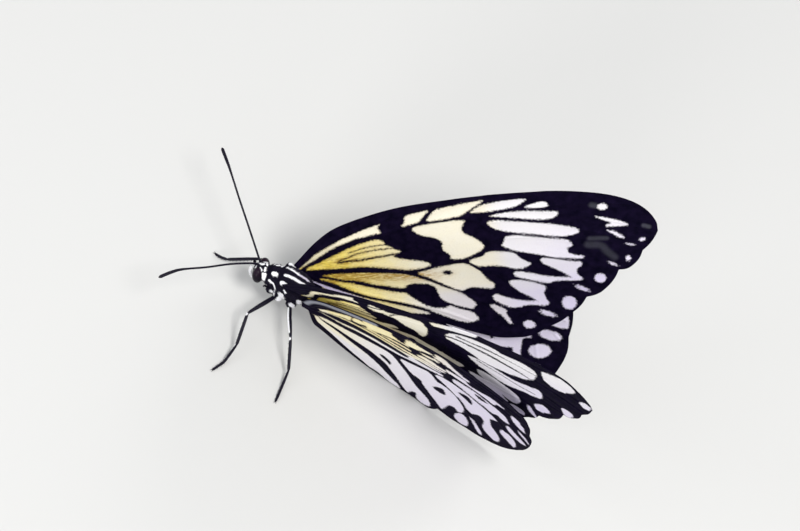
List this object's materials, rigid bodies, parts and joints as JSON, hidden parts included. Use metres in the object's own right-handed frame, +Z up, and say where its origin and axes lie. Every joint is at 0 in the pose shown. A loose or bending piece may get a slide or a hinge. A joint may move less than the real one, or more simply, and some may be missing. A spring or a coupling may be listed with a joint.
{
  "type": "paper kite butterfly",
  "caption": "Life-size paper kite butterfly standing with its black-veined white wings held up in a V, a still display model.",
  "frame": {"origin": "on the floor, under the middle of the whole model's box", "axes": "+X the way the head points, +Y to the butterfly's left, +Z up from the floor"},
  "size_m": [0.076, 0.0432, 0.0528],
  "materials": {
    "black": "matte",
    "eye": "gloss",
    "white": "matte",
    "wing": "matte"
  },
  "bodies": {
    "root": {"thorax": "black", "abdomen": "black", "neck": "black", "head": "black", "proboscis": "black", "eye_left": "eye", "antenna_left": "black", "palp_left": "white", "forewing_left": "wing", "hindwing_left": "wing", "midleg_left": "black", "hindleg_left": "black", "foreleg_left": "black", "eye_right": "eye", "antenna_right": "black", "palp_right": "white", "forewing_right": "wing", "hindwing_right": "wing", "midleg_right": "black", "hindleg_right": "black", "foreleg_right": "black"}
  },
  "joints": []
}
